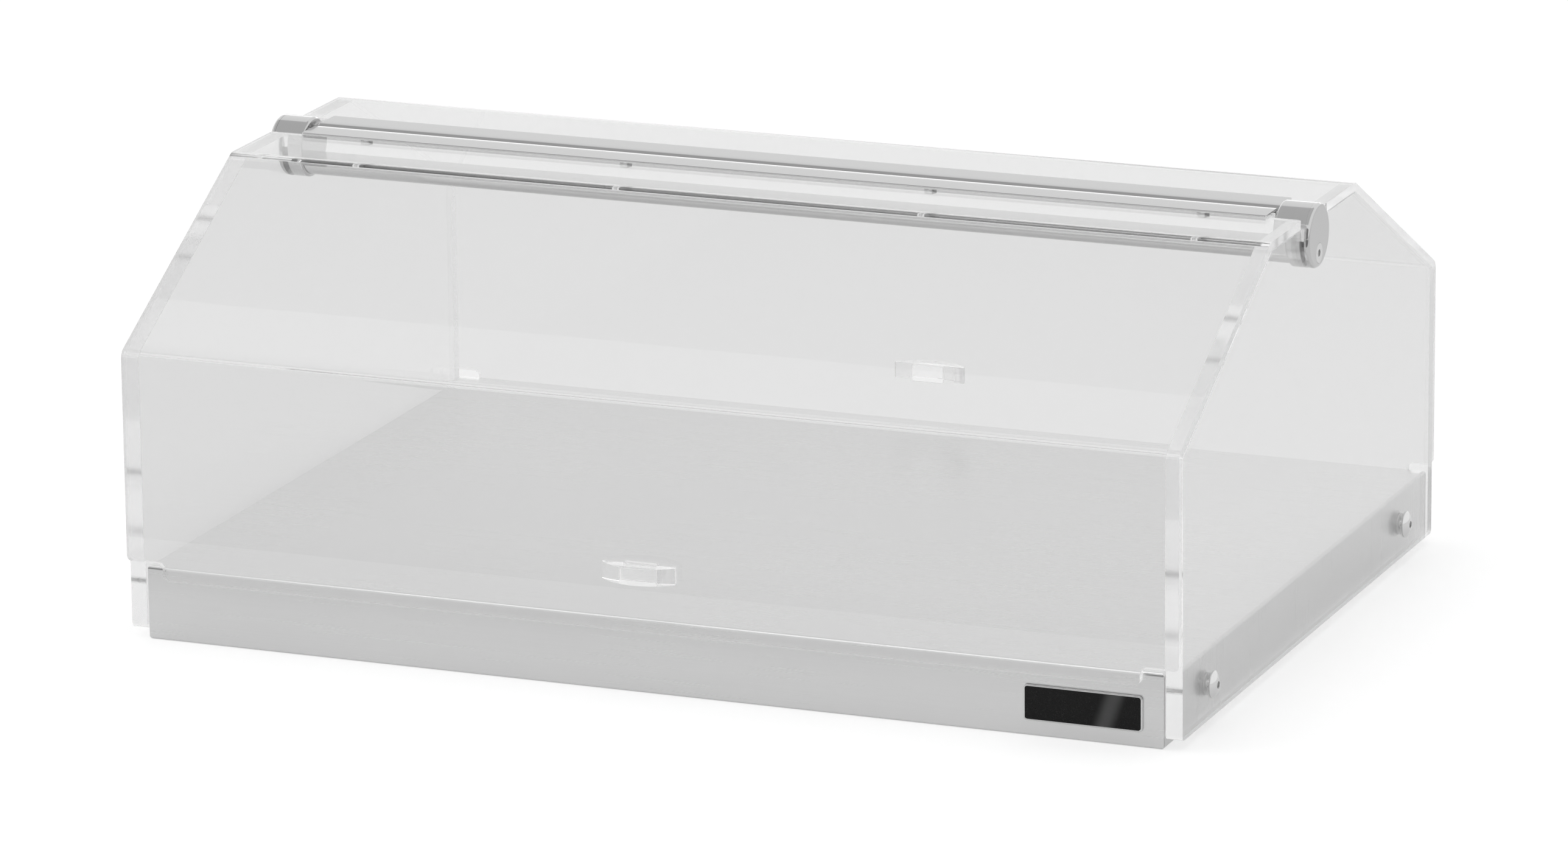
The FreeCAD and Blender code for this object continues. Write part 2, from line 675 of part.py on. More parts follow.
def make_end_plug(label):
    """Turned and milled plug against the inner face of a panel, its bridge lying in the panel's notch."""
    body = new_body(label)
    flange = sketch_on(body, "YZ_Plane", "flange", out="plug_inner_face")
    circle(flange, "0", "bar_height", "plug_diameter")
    pad(body, flange, "plug_flange")

    def at_inner_edge(middle, edge):
        return near(middle.x, value("plug_inner_face"))

    dress_edges(body, "Fillet", "Radius", "plug_edge_radius", at_inner_edge)
    bridge = sketch_on(body, "YZ_Plane", "bridge", out="panel_inner_face")
    outline(
        bridge,
        ("-bridge_width / 2", "bar_height"),
        ("bridge_width / 2", "bar_height"),
        ("bridge_width / 2", "bar_height + bridge_side_rise"),
        Arc("0", "bar_height"),
        ("-bridge_width / 2", "bar_height + bridge_side_rise"),
    )
    pad(body, bridge, "panel_wall - bridge_gap")
    spigot = sketch_on(body, "YZ_Plane", "spigot", out="plug_inner_face")
    outline(
        spigot,
        ("spigot_flat_reach", "bar_height - spigot_flat_drop"),
        ("-spigot_flat_reach", "bar_height - spigot_flat_drop"),
        Arc("0", "bar_height"),
    )
    pad(body, spigot, "spigot_length", backwards=True)
    rod_holes = sketch_on(body, "YZ_Plane", "rod_holes", out="plug_inner_face")
    circle(rod_holes, "-pivot_reach", "pivot_height", "rod_diameter + 2 * rod_fit_clearance")
    circle(rod_holes, "pivot_reach", "pivot_height", "rod_diameter + 2 * rod_fit_clearance")
    cut(body, rod_holes, "rod_hole_depth", forwards=True)
    screw_hole = sketch_on(body, "YZ_Plane", "screw_hole", out="panel_inner_face")
    circle(screw_hole, "0", "disc_screw_height", "disc_screw_thread + 2 * thread_clearance")
    cut(body, screw_hole, "plug_flange - plug_hole_floor")
    return body


def make_end_disc(label):
    """Polished disc on the outer face of a panel, countersunk for the screw that holds the bar's end."""
    body = new_body(label)
    disc = sketch_on(body, "YZ_Plane", "disc", out="panel_outer_face")
    circle(disc, "0", "bar_height", "plug_diameter")
    pad(body, disc, "disc_thickness")
    hole = sketch_on(body, "YZ_Plane", "hole")
    circle(hole, "0", "disc_screw_height", "disc_screw_thread + 2 * countersink_gap")
    cut(body, hole)

    def outer_edge_of(radius):
        def wanted(middle, edge):
            return near(middle.x, value("disc_outer_face")) and near(edge.BoundBox.YLength / 2, value(radius))
        return wanted

    dress_edges(body, "Chamfer", "Size", "countersink", outer_edge_of("disc_screw_thread / 2 + countersink_gap"))
    dress_edges(body, "Fillet", "Radius", "disc_edge_radius", outer_edge_of("plug_radius"))
    return body


def make_end_disc_screws():
    """Countersunk socket screws through the discs and the panels into the plugs."""
    body = new_body("end_disc_screws", many=True)
    tip = "plug_inner_face + disc_screw_tip_gap"
    profile = sketch_on(body, "XZ_Plane", "profile", up="disc_screw_height")
    outline(
        profile,
        (tip, "0"),
        ("disc_outer_face", "0"),
        ("disc_outer_face", "disc_screw_head / 2"),
        ("disc_outer_face - countersink", "disc_screw_thread / 2"),
        (tip, "disc_screw_thread / 2"),
    )
    turn(body, profile)
    socket = sketch_on(body, "YZ_Plane", "socket", out="disc_outer_face")
    hexagon(socket, "0 * overrun", "disc_screw_height", "key_across_flats")
    cut(body, socket, "key_depth")
    mirror(body, "YZ_Plane")
    return body


def make_hinge_bar():
    """Polished tube under the two rods, flat on top and round below, seated on the plugs' spigots."""
    body = new_body("hinge_bar")
    section = sketch_on(body, "YZ_Plane", "section")
    outline(
        section,
        ("bar_flat_reach", "bar_flat_height"),
        ("-bar_flat_reach", "bar_flat_height"),
        Arc("0", "bar_height"),
    )
    outline(
        section,
        ("bore_flat_reach", "bar_height - bore_flat_drop"),
        ("-bore_flat_reach", "bar_height - bore_flat_drop"),
        Arc("0", "bar_height"),
    )
    pad(body, section, "2 * plug_inner_face", both_ways=True)
    return body


def make_side_screws():
    """Button-head socket screws that clamp the panels to the tray."""
    body = new_body("side_screws", many=True)
    tip = "side_nut_face - side_screw_tip"
    profile = sketch_on(body, "XZ_Plane", "profile", up="side_screw_height", out="side_screw_reach")
    outline(
        profile,
        (tip, "0"),
        ("panel_outer_face + side_screw_head_height", "0"),
        ("panel_outer_face + side_screw_head_height", "side_screw_head_flat / 2"),
        Arc("panel_outer_face - dome_centre_drop", "0"),
        ("panel_outer_face + side_screw_head_rim", "side_screw_head / 2"),
        ("panel_outer_face", "side_screw_head / 2"),
        ("panel_outer_face", "side_screw_thread / 2"),
        (tip, "side_screw_thread / 2"),
    )
    turn(body, profile)
    socket = sketch_on(body, "YZ_Plane", "socket", out="panel_outer_face + side_screw_head_height")
    hexagon(socket, "-side_screw_reach", "side_screw_height", "key_across_flats")
    cut(body, socket, "key_depth")
    mirror(body, "XZ_Plane")
    mirror(body, "YZ_Plane")
    return body


def make_side_spacers():
    """Rings on the side screws that fill the gap between each panel and the tray."""
    body = new_body("side_spacers", many=True)
    rings = sketch_on(body, "YZ_Plane", "rings", out="tray_width / 2")
    for reach in ("side_screw_reach", "-side_screw_reach"):
        circle(rings, reach, "side_screw_height", "spacer_diameter")
        circle(rings, reach, "side_screw_height", "side_screw_thread + 2 * screw_hole_clearance")
    pad(body, rings, "tray_side_gap")
    mirror(body, "YZ_Plane")
    return body


def make_side_nuts():
    """Hexagon nuts on the side screws, against the inside of the tray's skirts."""
    body = new_body("side_nuts", many=True)
    nuts = sketch_on(body, "YZ_Plane", "nuts", out="side_nut_face")
    for reach in ("side_screw_reach", "-side_screw_reach"):
        hexagon(nuts, reach, "side_screw_height", "side_nut_across_flats")
        circle(nuts, reach, "side_screw_height", "side_screw_thread + 2 * thread_clearance")
    pad(body, nuts, "side_nut_thickness")
    mirror(body, "YZ_Plane")
    return body


def make_badge_plate():
    """Blank plate stuck on the tray's front skirt, near its right end."""
    body = new_body("badge_plate")
    plate = sketch_on(body, "XZ_Plane", "plate", out="case_depth / 2")
    right = "panel_inner_face - badge_end_inset"
    rectangle(
        plate,
        f"{right} - badge_width",
        right,
        "badge_foot_height",
        "badge_foot_height + badge_height",
        "badge_corner_radius",
    )
    pad(body, plate, "badge_thickness")
    return body


sub_parts = [
    make_base_tray(),
    make_hinge_bar(),
    make_side_screws(),
    make_side_spacers(),
    make_side_nuts(),
    make_end_disc_screws(),
    make_badge_plate(),
]
for make_piece, front_label, rear_label in (
    (make_lid, "front_lid", "rear_lid"),
    (make_handle, "front_handle", "rear_handle"),
    (make_hinge_leaf, "front_hinge_leaf", "rear_hinge_leaf"),
    (make_leaf_nuts, "front_leaf_nuts", "rear_leaf_nuts"),
    (make_hinge_rod, "front_hinge_rod", "rear_hinge_rod"),
    (make_side_panel, "right_side_panel", "left_side_panel"),
    (make_end_plug, "right_end_plug", "left_end_plug"),
    (make_end_disc, "right_end_disc", "left_end_disc"),
):
    sub_parts.append(make_piece(front_label))
    sub_parts.append(make_piece(rear_label))
    turn_round(sub_parts[-1])
doc.recompute()

for item in doc.Objects:
    if "Invalid" in item.State or "Error" in item.State:
        raise RuntimeError(f"{item.Label} did not recompute: {item.State}")
    if item.TypeId == "Sketcher::SketchObject" and not item.FullyConstrained:
        raise RuntimeError(f"{item.Label} is not fully constrained")
for sub_part in sub_parts:
    if sub_part.Shape.isNull() or not sub_part.Shape.isValid() or not sub_part.Shape.Solids:
        raise RuntimeError(f"{sub_part.Label} has no valid solid")

os.makedirs("parts", exist_ok=True)
for sub_part in sub_parts:
    sub_part.Shape.exportStep(os.path.join("parts", sub_part.Label + ".step"))
    box = sub_part.Shape.BoundBox
    print(
        f"{sub_part.Label}: {len(sub_part.Shape.Solids)} solid(s), {sub_part.Shape.Volume:.0f} mm3,"
        f" X {box.XMin:.2f} to {box.XMax:.2f}, Y {box.YMin:.2f} to {box.YMax:.2f},"
        f" Z {box.ZMin:.2f} to {box.ZMax:.2f}"
    )
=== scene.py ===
import bmesh
import bpy
import math
from mathutils import Matrix, Vector


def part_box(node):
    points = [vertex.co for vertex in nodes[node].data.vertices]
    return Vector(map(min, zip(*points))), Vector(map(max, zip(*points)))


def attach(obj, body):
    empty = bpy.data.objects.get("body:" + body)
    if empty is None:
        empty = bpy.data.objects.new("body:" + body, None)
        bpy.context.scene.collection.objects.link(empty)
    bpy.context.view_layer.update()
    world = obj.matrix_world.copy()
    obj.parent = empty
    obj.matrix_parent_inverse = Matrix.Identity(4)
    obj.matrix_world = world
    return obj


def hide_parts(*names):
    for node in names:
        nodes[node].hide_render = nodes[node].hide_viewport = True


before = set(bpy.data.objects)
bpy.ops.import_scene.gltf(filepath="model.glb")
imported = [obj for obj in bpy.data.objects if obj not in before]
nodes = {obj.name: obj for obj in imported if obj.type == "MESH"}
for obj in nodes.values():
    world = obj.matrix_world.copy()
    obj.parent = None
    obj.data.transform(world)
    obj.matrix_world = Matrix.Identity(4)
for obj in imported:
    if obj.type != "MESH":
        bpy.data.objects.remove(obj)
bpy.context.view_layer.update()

# Base tray.
# One sheet of 1.2 mm stainless steel, brushed along its length and folded on a press brake to a floor, four
# skirts and a return flange under each. The skirts meet at open seams in the corners.

mm = 0.001


def new_material(name):
    """A material with its node tree and its one Principled shader."""
    material = bpy.data.materials.new(name)
    material.use_nodes = True
    return material, material.node_tree, material.node_tree.nodes["Principled BSDF"]


def add_node(tree, kind, inputs=(), **settings):
    """A node of the kind; inputs are (socket, value or output socket) pairs."""
    node = tree.nodes.new("ShaderNode" + kind)
    for setting, choice in settings.items():
        setattr(node, setting, choice)
    for socket, source in inputs:
        if isinstance(source, bpy.types.NodeSocket):
            tree.links.new(source, node.inputs[socket])
        else:
            node.inputs[socket].default_value = source
    return node


def math_node(tree, operation, *sources):
    return add_node(tree, "Math", enumerate(sources), operation=operation).outputs[0]


def between(tree, share, low, high):
    """low where share is 0, high where it is 1; low and high are numbers."""
    return math_node(tree, "MULTIPLY_ADD", share, high - low, low)


def split(tree, vector):
    """The vector's sockets X, Y and Z."""
    return add_node(tree, "SeparateXYZ", [(0, vector)]).outputs


def noise(tree, vector, scale, detail):
    return add_node(tree, "TexNoise", [("Vector", vector), ("Scale", scale), ("Detail", detail)]).outputs[0]


def grey(tree, level):
    return add_node(tree, "CombineColor", [(0, level), (1, level), (2, level)]).outputs[0]


def faces_along(tree, component, least):
    """1 where that component of the normal, either way, is greater than least."""
    return math_node(tree, "GREATER_THAN", math_node(tree, "ABSOLUTE", component), least)


def raise_surface(tree, shader, height, strength, distance):
    """Gives the shader a relief of that height."""
    bump = add_node(tree, "Bump", [("Height", height), ("Strength", strength), ("Distance", distance)])
    tree.links.new(bump.outputs[0], shader.inputs["Normal"])


def new_group(name, outputs, inputs):
    """A node group that puts out values, with the sockets that it takes in and its output node."""
    group = bpy.data.node_groups.new(name, "ShaderNodeTree")
    for label, default in inputs:
        socket = group.interface.new_socket(label, in_out="INPUT", socket_type="NodeSocketFloat")
        socket.default_value = default
    for label in outputs:
        group.interface.new_socket(label, in_out="OUTPUT", socket_type="NodeSocketFloat")
    return group, group.nodes.new("NodeGroupInput").outputs, group.nodes.new("NodeGroupOutput")


# The grain of brushed sheet: long fine lines along X, which run down the sides that face along X.
grain_group, grain_in, grain_out = new_group(
    "sheet_grain", ("Lines", "Clouds"), [("Lines per metre", 1500.0)]
)
changes_along_line = 9.0
grain_place = add_node(grain_group, "TexCoord").outputs
spot = split(grain_group, grain_place["Object"])
facing = split(grain_group, grain_place["Normal"])
end_on = faces_along(grain_group, facing["X"], least=0.7)
along = add_node(grain_group, "Mix", [(0, end_on), (2, spot["X"]), (3, spot["Z"])]).outputs[0]
across = add_node(grain_group, "Mix", [(0, end_on), (2, spot["Z"]), (3, spot["X"])]).outputs[0]
stretched = add_node(grain_group, "CombineXYZ", [
    (0, math_node(grain_group, "MULTIPLY", along, changes_along_line)),
    (1, math_node(grain_group, "MULTIPLY", spot["Y"], grain_in["Lines per metre"])),
    (2, math_node(grain_group, "MULTIPLY", across, grain_in["Lines per metre"])),
])
grain_lines = noise(grain_group, stretched.outputs[0], scale=1.0, detail=3.0)
grain_clouds = noise(grain_group, grain_place["Object"], scale=7.0, detail=2.0)
grain_group.links.new(grain_lines, grain_out.inputs["Lines"])
grain_group.links.new(grain_clouds, grain_out.inputs["Clouds"])

line_share = 0.75
line_height = 0.02 * mm
coat_roughness = 0.08


def brushed_steel(
    name, shade, roughness, shade_swing=0.05, roughness_swing=0.10, lines=1500.0, relief=0.15, coat=0.0
):
    """Steel with a grain: its shade and roughness swing with the lines, which stand up a little."""
    material, tree, shader = new_material(name)
    grain = add_node(tree, "Group", node_tree=grain_group)
    grain.inputs["Lines per metre"].default_value = lines
    cloud_part = math_node(tree, "MULTIPLY", grain.outputs["Clouds"], 1.0 - line_share)
    mixed = math_node(tree, "MULTIPLY_ADD", grain.outputs["Lines"], line_share, cloud_part)
    shades = between(tree, mixed, shade - shade_swing, shade + shade_swing)
    roughnesses = between(tree, mixed, roughness + roughness_swing / 2, roughness - roughness_swing / 2)
    tree.links.new(grey(tree, shades), shader.inputs["Base Color"])
    tree.links.new(roughnesses, shader.inputs["Roughness"])
    raise_surface(tree, shader, grain.outputs["Lines"], strength=relief, distance=line_height)
    shader.inputs["Metallic"].default_value = 1.0
    shader.inputs["Coat Weight"].default_value = coat
    shader.inputs["Coat Roughness"].default_value = coat_roughness
    return material


weld_reach = 0.001 * mm
flat_within = math.radians(0.5)
sharp_from = math.radians(35)
edge_segments = 2


def dress(names, material, edge=0.0, inset=0.0):
    """Gives CAD nodes their material and breaks their sharp edges; inset draws every face in."""
    for name in names:
        node = nodes[name]
        for material_slot in node.material_slots:
            material_slot.material = material
        if not edge:
            continue
        node.modifiers.new("weld", "WELD").merge_threshold = weld_reach
        flatten = node.modifiers.new("flatten", "DECIMATE")
        flatten.decimate_type = "DISSOLVE"
        flatten.angle_limit = flat_within
        if inset:
            draw_in = node.modifiers.new("draw_in", "DISPLACE")
            draw_in.mid_level = 0.0
            draw_in.strength = -inset
        bevel = node.modifiers.new("edge", "BEVEL")
        bevel.width = edge
        bevel.segments = edge_segments
        bevel.limit_method = "ANGLE"
        bevel.angle_limit = sharp_from
        node.modifiers.new("shading", "WEIGHTED_NORMAL").keep_sharp = False


sheet_steel = brushed_steel(
    "sheet_steel", shade=0.77, roughness=0.28, shade_swing=0.015, roughness_swing=0.05,
    relief=0.03, coat=0.12,
)
dress(["base_tray"], sheet_steel)

# Side panels.
# Plates of 10 mm clear cast acrylic, sawn to the lids' section and drilled, the arrises broken and the
# edges polished until only a trace of the saw is left. Each is notched at the top for the end of the bar.

clear_swing = 0.005
painted_edge_clearness = 0.94
saw_swing_share = 0.3
wave_height = 0.05 * mm
shadow_strength = 0.15


def clear_acrylic(name, sawn_faces, clearness=0.885, saw_trace=0.10):
    """Cast acrylic. sawn_faces(tree, spot, facing) is 1 on the cut edges, which keep a trace of the saw and
    are painted lighter.
    """
    material, tree, shader = new_material(name)
    coordinates = add_node(tree, "TexCoord").outputs
    cast = coordinates["Object"]
    spot = split(tree, cast)
    facing = split(tree, coordinates["Normal"])
    clouds = noise(tree, cast, scale=4.0, detail=1.0)
    marks = noise(tree, cast, scale=700.0, detail=2.0)
    waves = noise(tree, cast, scale=9.0, detail=0.0)
    sawn = sawn_faces(tree, spot, facing)
    clear = between(tree, clouds, clearness - clear_swing, clearness + clear_swing)
    # Painted light: the sawn edges are painted lighter than the broad faces.
    clarity = math_node(tree, "MAXIMUM", clear, math_node(tree, "MULTIPLY", sawn, painted_edge_clearness))
    sawing = between(tree, marks, saw_trace * (1.0 - saw_swing_share), saw_trace * (1.0 + saw_swing_share))
    tree.links.new(grey(tree, clarity), shader.inputs["Base Color"])
    tree.links.new(math_node(tree, "MULTIPLY", sawn, sawing), shader.inputs["Roughness"])
    raise_surface(tree, shader, waves, strength=0.2, distance=wave_height)
    shadow_ray = add_node(tree, "LightPath").outputs["Is Shadow Ray"]
    tree.links.new(between(tree, shadow_ray, 1.0, shadow_strength), shader.inputs["Alpha"])
    shader.inputs["Transmission Weight"].default_value = 1.0
    shader.inputs["IOR"].default_value = 1.49
    return material


def panel_edges(tree, spot, facing):
    """All but the two broad faces of a plate."""
    broad_from = 0.8
    return math_node(tree, "LESS_THAN", math_node(tree, "ABSOLUTE", facing["X"]), broad_from)


# The inset keeps the acrylic's faces out of the faces of the steel that they touch.
acrylic_inset = 0.03 * mm
panel_acrylic = clear_acrylic("panel_acrylic", panel_edges)
dress(["left_side_panel", "right_side_panel"], panel_acrylic, edge=0.35 * mm, inset=acrylic_inset)

# Side screws, spacers and nuts.
# Four M4 stainless button-head screws with hexagon sockets clamp the panels to the tray's skirts, with a
# ring between each panel and the skirt and a nut behind. The thread shows through the panels' edges.

screws_low, screws_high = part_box("side_screws")
screw_height = (screws_low.z + screws_high.z) / 2
screw_reach = 174.0 * mm
panel_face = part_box("right_side_panel")[1].x

# The screw's profile in mm: how far out of the panel's face, and the radius there.
tip, tip_chamfer, tip_radius, first_radius = -16.6, 0.4, 1.1, 1.5
pitch, thread_depth, thread_radius, thread_end = 0.7, 0.43, 1.98, -0.9
neck, neck_radius = -0.5, 1.7
under_head_radius, rim_chamfer, rim_chamfer_radius = 7.7, 0.15, 7.93
head_rim, head_radius, head_height, head_flat = 0.8, 8.0, 3.3, 2.8
socket_flats, socket_mouth, socket_chamfer = 2.0, 2.45, 0.05
socket_floor, floor_chamfer, floor_flats, drill_point, drill_radius = 1.3, 0.05, 1.9, 0.9, 0.05
dome_steps = 10
screw_profile = [(tip, tip_radius), (tip + tip_chamfer, first_radius)]
for step in range(int((thread_end - tip - tip_chamfer) / (pitch / 2))):
    screw_profile.append((tip + tip_chamfer + step * pitch / 2, thread_radius - thread_depth * (step % 2)))
screw_profile += [
    (neck, neck_radius), (0.0, thread_radius), (0.0, under_head_radius), (rim_chamfer, rim_chamfer_radius),
    (head_rim, head_radius),
]

# The domed head is part of a sphere, whose centre lies dome_drop behind the panel's face.
rim_squared = head_rim ** 2 + head_radius ** 2
flat_squared = head_height ** 2 + head_flat ** 2
dome_drop = (rim_squared - flat_squared) / (2 * (head_height - head_rim))
dome_radius = math.hypot(head_radius, head_rim + dome_drop)
for step in range(1, dome_steps + 1):
    radius = head_radius + (head_flat - head_radius) * step / dome_steps
    screw_profile.append((math.sqrt(dome_radius ** 2 - radius ** 2) - dome_drop, radius))
screw_profile += [
    (head_height, socket_mouth), (head_height - socket_chamfer, socket_flats, "hexagon"),
    (socket_floor + floor_chamfer, socket_flats, "hexagon"), (socket_floor, floor_flats, "hexagon"),
    (drill_point, drill_radius),
]


def side_screw(name, place, direction):
    """A screw turned about X from its profile, with its head out of the panel in that direction."""
    steps = 48
    mesh = bpy.data.meshes.new(name)
    shape = bmesh.new()
    rings = []
    for out, radius, *hexagon in screw_profile:
        ring = []
        for step in range(steps):
            angle = 2 * math.pi * step / steps
            reach = radius * mm
            if hexagon:
                reach /= math.cos((angle + math.pi / 6) % (math.pi / 3) - math.pi / 6)
            ring.append(shape.verts.new((
                place[0] + direction * out * mm,
                place[1] + reach * math.cos(angle),
                place[2] + direction * reach * math.sin(angle),
            )))
        rings.append(ring)
    for low, high in zip(rings, rings[1:]):
        for step in range(steps):
            following = (step + 1) % steps
            shape.faces.new((low[step], low[following], high[following], high[step]))
    shape.faces.new(list(reversed(rings[0])))
    shape.faces.new(rings[-1])
    bmesh.ops.recalc_face_normals(shape, faces=shape.faces)
    for face in shape.faces:
        face.smooth = True
    shape.to_mesh(mesh)
    shape.free()
    mesh.materials.append(fastener_steel)
    screw = bpy.data.objects.new(name, mesh)
    bpy.context.scene.collection.objects.link(screw)
    screw.modifiers.new("edge", "EDGE_SPLIT").split_angle = math.radians(40)
    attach(screw, "root")
    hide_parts("side_screws")


fastener_steel = brushed_steel(
    "fastener_steel", shade=0.74, roughness=0.10, shade_swing=0.03, roughness_swing=0.05,
    lines=900.0, relief=0.03,
)
screw_corners = [(side, end) for side in (1, -1) for end in (1, -1)]
for number, (side, end) in enumerate(screw_corners, start=1):
    side_screw(f"side_screw_{number}", (side * panel_face, end * screw_reach, screw_height), side)
dress(["side_spacers"], brushed_steel("spacer_steel", shade=0.55, roughness=0.35), edge=0.15 * mm)
dress(["side_nuts"], fastener_steel, edge=0.2 * mm)

# End plugs, discs and disc screws.
# Turned stainless pieces: a 38 mm plug inside each panel, holding the hinge rods and the hinge bar, and a
# polished 38 mm disc outside it, drawn together by one countersunk M6 socket screw.

turned_group, turned_in, turned_out = new_group("turned_rings", ("Rings",), [("Rings per metre", 2600.0)])
disc_low, disc_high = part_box("left_end_disc")
turning_axis_height = (disc_low.z + disc_high.z) / 2
spot = split(turned_group, add_node(turned_group, "TexCoord").outputs["Object"])
above_axis = math_node(turned_group, "SUBTRACT", spot["Z"], turning_axis_height)
across_squared = math_node(turned_group, "POWER", spot["Y"], 2.0)
above_squared = math_node(turned_group, "POWER", above_axis, 2.0)
from_axis = math_node(turned_group, "SQRT", math_node(turned_group, "ADD", across_squared, above_squared))
tool_marks = add_node(turned_group, "CombineXYZ", [
    (0, math_node(turned_group, "MULTIPLY", from_axis, turned_in["Rings per metre"])),
    (1, math_node(turned_group, "MULTIPLY", spot["X"], turned_in["Rings per metre"])),
])
turned_rings = noise(turned_group, tool_marks.outputs[0], scale=1.0, detail=2.0)
turned_group.links.new(turned_rings, turned_out.inputs["Rings"])


def turned_steel(name, shade, roughness, shade_swing=0.015, roughness_swing=0.03):
    """Steel off the lathe: fine rings about the bar's axis swing its shade and roughness a little."""
    material, tree, shader = new_material(name)
    rings = add_node(tree, "Group", node_tree=turned_group).outputs["Rings"]
    shades = between(tree, rings, shade - shade_swing, shade + shade_swing)
    roughnesses = between(tree, rings, roughness + roughness_swing, roughness - roughness_swing)
    tree.links.new(grey(tree, shades), shader.inputs["Base Color"])
    tree.links.new(roughnesses, shader.inputs["Roughness"])
    raise_surface(tree, shader, rings, strength=0.03, distance=0.01 * mm)
    shader.inputs["Metallic"].default_value = 1.0
    return material


plug_steel = turned_steel("plug_steel", shade=0.58, roughness=0.12)
disc_steel = turned_steel("disc_steel", shade=0.60, roughness=0.10)
dress(["left_end_plug", "right_end_plug"], plug_steel, edge=0.15 * mm)
dress(["left_end_disc", "right_end_disc"], disc_steel)
dress(["end_disc_screws"], fastener_steel, edge=0.12 * mm)

# Hinge bar.
# A stainless tube between the end plugs, ground flat on top and polished round below, seated on the plugs'
# spigots.


def normal_up(tree):
    """The Z of the normal, from 1 on top to -1 below."""
    return split(tree, add_node(tree, "TexCoord").outputs["Normal"])["Z"]


def scale_colour(material, factor):
    """Multiplies the material's colour by a factor that changes over the surface."""
    tree = material.node_tree
    shader = tree.nodes["Principled BSDF"]
    colour = shader.inputs["Base Color"].links[0].from_socket
    scaled = add_node(tree, "VectorMath", [(0, colour), ("Scale", factor)], operation="SCALE")
    tree.links.new(scaled.outputs[0], shader.inputs["Base Color"])


bar_steel = brushed_steel(
    "bar_steel", shade=0.74, roughness=0.12, shade_swing=0.02, roughness_swing=0.04,
    lines=2600.0, relief=0.02,
)

# Painted shade: the flat top is painted darker than the round, and the round is painted darker towards its
# lowest part.
flat_from, flat_painted_shade = 0.9, 0.62
round_shade_from, round_shade_to, lowest_painted_shade = -0.55, -0.95, 0.55
bar_tree = bar_steel.node_tree
bar_up = normal_up(bar_tree)
flat_shading = between(bar_tree, math_node(bar_tree, "GREATER_THAN", bar_up, flat_from), 1.0, flat_painted_shade)
round_shading = add_node(bar_tree, "MapRange", [
    ("Value", bar_up), ("From Min", round_shade_to), ("From Max", round_shade_from),
    ("To Min", lowest_painted_shade), ("To Max", 1.0),
]).outputs[0]
# The colour is scaled by the painted shade of the flat and of the round.
scale_colour(bar_steel, math_node(bar_tree, "MULTIPLY", round_shading, flat_shading))
dress(["hinge_bar"], bar_steel, edge=0.25 * mm)

# Hinge rods.
# Round 5 mm drawn stainless rods, bright along their length, pushed into blind holes in the end plugs.

rod_steel = brushed_steel("rod_steel", shade=0.58, roughness=0.22, lines=3200.0, relief=0.05)
dress(["front_hinge_rod", "rear_hinge_rod"], rod_steel, edge=0.3 * mm)

# Lids.
# Sheets of 5 mm clear acrylic, cut flat, polished along their edges and bent hot over two straight wires
# into an upright wall, a slope and the flat that the hinge leaf holds.

lid_low, lid_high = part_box("front_lid")
low_edge_to = lid_low.z + 11.5 * mm
top_edges_from = lid_high.z - 5.7 * mm
squarely = 0.9


def lid_edges(tree, spot, facing):
    """The lids' ends, their low edge, and the edges of the tongue and the tabs on top."""
    ends = faces_along(tree, facing["X"], squarely)
    low = math_node(tree, "LESS_THAN", spot["Z"], low_edge_to)
    down = math_node(tree, "LESS_THAN", facing["Z"], -squarely)
    top = math_node(tree, "GREATER_THAN", spot["Z"], top_edges_from)
    level = faces_along(tree, facing["Y"], squarely)
    low_edge = math_node(tree, "MULTIPLY", low, down)
    top_edges = math_node(tree, "MULTIPLY", top, level)
    return math_node(tree, "MAXIMUM", ends, math_node(tree, "MAXIMUM", low_edge, top_edges))


lid_acrylic = clear_acrylic("lid_acrylic", lid_edges, saw_trace=0.18)
dress(["front_lid", "rear_lid"], lid_acrylic, edge=0.55 * mm, inset=acrylic_inset)

# Hinge leaves and their nuts.
# Strips of 1.5 mm stainless steel, ground along their length, their inner edge rolled round the hinge rod.
# Four M4 studs are welded under each, and pass through the lid to a nut.

# The low shade of the leaf steel is painted shade for the top of the leaf.
leaf_steel = brushed_steel(
    "leaf_steel", shade=0.48, roughness=0.10, shade_swing=0.015, roughness_swing=0.04,
    lines=2400.0, relief=0.02,
)
leaf_tree = leaf_steel.node_tree
leaf_shader = leaf_tree.nodes["Principled BSDF"]

# The strip dips more and more on its way down to the roll.
dip_reach, dip_slope = 8.5 * mm, 0.075
leaf_spot = split(leaf_tree, add_node(leaf_tree, "TexCoord").outputs["Object"])
from_crease = math_node(leaf_tree, "ABSOLUTE", leaf_spot["Y"])
to_flat = math_node(leaf_tree, "SUBTRACT", dip_reach, from_crease)
short_of_flat = math_node(leaf_tree, "MAXIMUM", to_flat, 0.0)
dip = math_node(leaf_tree, "POWER", short_of_flat, 2.0)
dip_height = math_node(leaf_tree, "MULTIPLY", dip, -dip_slope / dip_reach / 2)
leaf_grain = leaf_shader.inputs["Normal"].links[0].from_socket
leaf_dip = add_node(leaf_tree, "Bump", [
    ("Height", dip_height), ("Strength", 1.0), ("Distance", 1.0), ("Normal", leaf_grain),
])
leaf_tree.links.new(leaf_dip.outputs[0], leaf_shader.inputs["Normal"])

